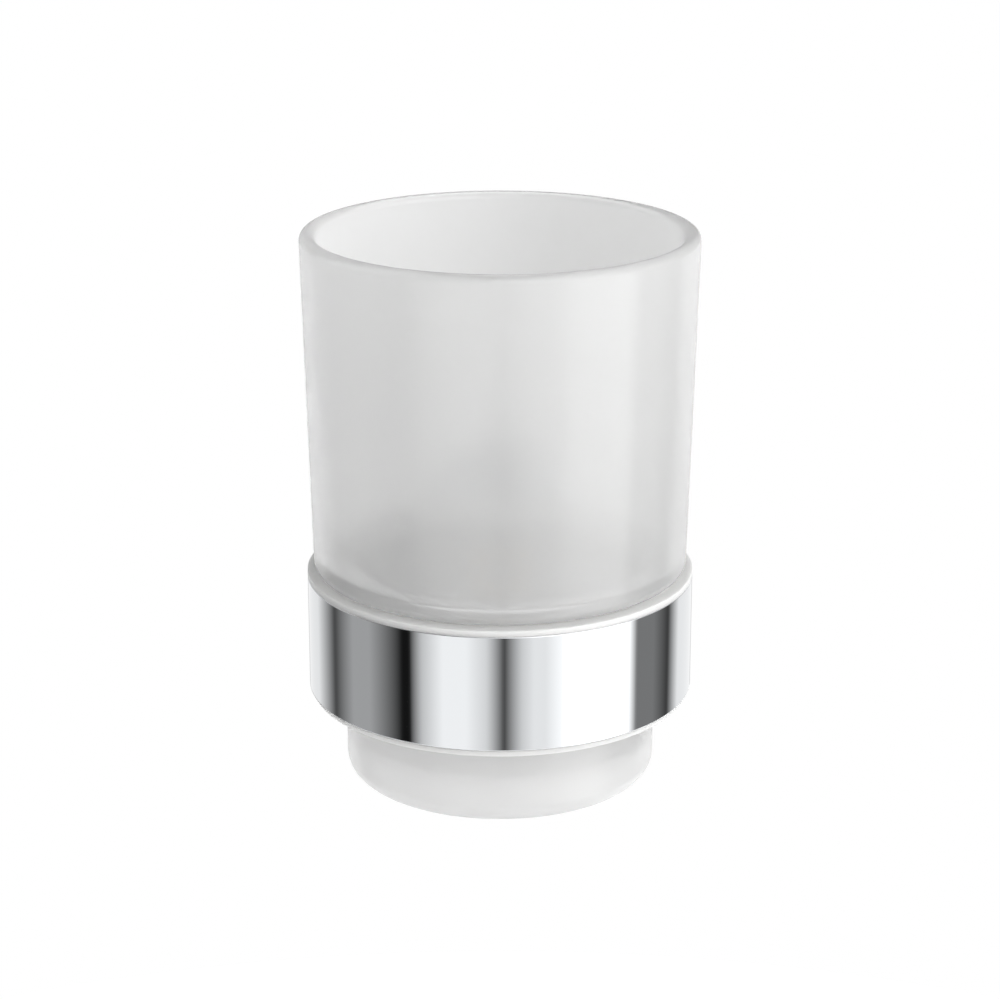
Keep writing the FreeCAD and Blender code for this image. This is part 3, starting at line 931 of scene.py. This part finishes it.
@dataclass
class Studio:
    """Camera, floor and surrounding light."""

    camera_place: tuple[float, float, float] = (0.0, -0.5745, 0.19095)
    camera_pitch: float = 17.99
    lens_mm: float = 99.497
    sensor_mm: float = 36.0
    nearest: float = 0.01
    floor_drop: float = 0.30
    floor_radius: float = 0.5
    floor_steps: int = 96
    floor_colour: str = "#F7F7F7"
    floor_lift: float = 0.80
    overhead: float = 0.35
    # How far up the light's directions point, from -1 to 1, where one ring gives way to the next.
    cards_to_lamps: tuple[float, float] = (-0.12, 0.0)
    lamps_to_overhead: tuple[float, float] = (0.55, 0.9)
    cards: list[Card] = field(
        default_factory=lambda: [
            Card(-180.0, -172.0, 0.60),
            Card(-164.0, -140.0, 1.02),
            Card(-117.0, -115.0, 0.10),
            Card(-98.0, -84.0, 0.48),
            Card(-60.0, -55.0, 0.01),
            Card(-47.0, -47.0, 0.75),
            Card(-34.0, -20.0, 1.26),
            Card(-8.0, -8.0, 0.94),
            Card(2.0, 3.0, 0.10),
            Card(13.0, 13.0, 0.86),
            Card(20.0, 27.0, 1.12),
            Card(37.0, 37.0, 1.45),
            Card(43.0, 78.0, 2.60),
            Card(89.0, 104.0, 0.25),
            Card(118.0, 120.0, 0.07),
            Card(134.0, 164.0, 1.07),
            Card(172.0, 180.0, 0.60),
        ]
    )
    lamps: list[Card] = field(
        default_factory=lambda: [
            Card(-180.0, -170.0, 0.40),
            Card(-150.0, -110.0, 0.90),
            Card(-80.0, -30.0, 0.20),
            Card(0.0, 0.0, 1.10),
            Card(30.0, 60.0, 2.70),
            Card(90.0, 90.0, 0.80),
            Card(120.0, 150.0, 0.70),
            Card(170.0, 180.0, 0.40),
        ]
    )
    backdrop: list[Card] = field(
        default_factory=lambda: [
            Card(-180.0, -175.0, 0.86),
            Card(-150.0, -80.0, 1.90),
            Card(-40.0, 40.0, 0.60),
            Card(80.0, 150.0, 0.50),
            Card(175.0, 180.0, 0.86),
        ]
    )

    def build(self) -> None:
        """Sets up the camera, the floor, the light and plain view settings."""
        self.build_camera()
        self.build_floor()
        self.build_light()
        bpy.context.scene.view_settings.view_transform = "Standard"

    def build_camera(self) -> None:
        """Puts the camera where the photograph was taken from."""
        lens = bpy.data.cameras.new("camera")
        lens.lens = self.lens_mm
        lens.sensor_width = self.sensor_mm
        lens.clip_start = self.nearest
        camera = bpy.data.objects.new("camera", lens)
        camera.location = self.camera_place
        camera.rotation_euler = (math.radians(90.0 - self.camera_pitch), 0.0, 0.0)
        bpy.context.scene.collection.objects.link(camera)
        bpy.context.scene.camera = camera

    def build_floor(self) -> None:
        """Lays a round pale floor well under the glass."""
        shape = bmesh.new()
        low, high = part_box("tumbler")
        middle = Matrix.Translation((0.0, (low[1] + high[1]) / 2, low[2] - self.floor_drop))
        bmesh.ops.create_circle(
            shape, cap_ends=True, segments=self.floor_steps, radius=self.floor_radius, matrix=middle
        )
        mesh = bpy.data.meshes.new("floor")
        shape.to_mesh(mesh)
        shape.free()
        floor = bpy.data.objects.new("floor", mesh)
        bpy.context.scene.collection.objects.link(floor)
        material = bpy.data.materials.new("white_paper_floor")
        material.use_nodes = True
        tree = material.node_tree
        tree.nodes.clear()
        paper = add_node(tree, "ShaderNodeBsdfDiffuse", {}, {"Color": linear(self.floor_colour)})
        rays = add_node(tree, "ShaderNodeLightPath", {}, {})
        seen = rays.outputs["Is Camera Ray"]
        for kind in ("Is Glossy Ray", "Is Transmission Ray"):
            seen = add_node(
                tree, "ShaderNodeMath", {"operation": "MAXIMUM"}, {0: seen, 1: rays.outputs[kind]}
            ).outputs["Value"]
        glow = add_node(tree, "ShaderNodeMath", {"operation": "MULTIPLY"}, {0: seen, 1: self.floor_lift})
        lift = add_node(tree, "ShaderNodeEmission", {}, {"Strength": glow.outputs["Value"]})
        both = add_node(
            tree, "ShaderNodeAddShader", {}, {0: paper.outputs["BSDF"], 1: lift.outputs["Emission"]}
        )
        add_node(tree, "ShaderNodeOutputMaterial", {}, {"Surface": both.outputs["Shader"]})
        mesh.materials.append(material)

    def ring_of(
        self, tree: bpy.types.NodeTree, share: bpy.types.NodeSocket, cards: Sequence[Card]
    ) -> bpy.types.NodeSocket:
        """Adds a ring of upright cards round the object, each shading into the next.

        Args:
            tree: The world's node tree.
            share: Direction round the object, from 0 to 1, with the back at both ends.
            cards: The cards, in order.

        Returns:
            The ring's light.
        """
        ring = add_node(tree, "ShaderNodeValToRGB", {}, {"Fac": share})
        ramp = ring.color_ramp.elements
        ramp.remove(ramp[-1])
        for card in cards:
            for degrees in sorted({card.start, card.end}):
                stop = ramp.new((degrees + 180.0) / 360.0)
                stop.color = (card.level, card.level, card.level, 1.0)
        ramp.remove(ramp[0])
        return ring.outputs["Color"]

    def build_light(self) -> None:
        """Wraps the object in cards and lamps, with a backdrop for the glass and white for the camera."""
        world = bpy.data.worlds.new("studio")
        world.use_nodes = True
        bpy.context.scene.world = world
        tree = world.node_tree
        tree.nodes.clear()
        where = add_node(tree, "ShaderNodeTexCoord", {}, {})
        way = add_node(tree, "ShaderNodeSeparateXYZ", {}, {"Vector": where.outputs["Generated"]})
        front = add_node(tree, "ShaderNodeMath", {"operation": "MULTIPLY"}, {0: way.outputs["Y"], 1: -1.0})
        bearing = add_node(
            tree,
            "ShaderNodeMath",
            {"operation": "ARCTAN2"},
            {0: way.outputs["X"], 1: front.outputs["Value"]},
        )
        share = add_node(
            tree,
            "ShaderNodeMapRange",
            {},
            {"Value": bearing.outputs["Value"], "From Min": -math.pi, "From Max": math.pi},
        )
        low = self.ring_of(tree, share.outputs["Result"], self.cards)
        high = self.ring_of(tree, share.outputs["Result"], self.lamps)
        level = low
        zenith = (self.overhead, self.overhead, self.overhead, 1.0)
        for above, (bottom, top) in ((high, self.cards_to_lamps), (zenith, self.lamps_to_overhead)):
            height = add_node(
                tree,
                "ShaderNodeMapRange",
                {"interpolation_type": "SMOOTHSTEP"},
                {"Value": way.outputs["Z"], "From Min": bottom, "From Max": top},
            )
            level = add_node(
                tree,
                "ShaderNodeMix",
                {"data_type": "RGBA"},
                {"Factor": height.outputs["Result"], "A": level, "B": above},
            ).outputs["Result"]
        rays = add_node(tree, "ShaderNodeLightPath", {}, {})
        behind = self.ring_of(tree, share.outputs["Result"], self.backdrop)
        for kind, shown in (("Is Transmission Ray", behind), ("Is Camera Ray", WHITE)):
            level = add_node(
                tree,
                "ShaderNodeMix",
                {"data_type": "RGBA"},
                {"Factor": rays.outputs[kind], "A": level, "B": shown},
            ).outputs["Result"]
        light = add_node(tree, "ShaderNodeBackground", {}, {"Color": level})
        add_node(tree, "ShaderNodeOutputWorld", {}, {"Surface": light.outputs["Background"]})


def main() -> None:
    """Builds and dresses the object, then the studio round it."""
    logging.basicConfig(level=logging.INFO, format="%(name)s: %(message)s")
    chrome = ChromePlate().material()
    Tumbler(FrostedGlass()).build()
    LinedRing(chrome, MilkyPlastic().material()).build()
    WallFixing(chrome).build()
    Studio().build()


if __name__ == "__main__":
    main()
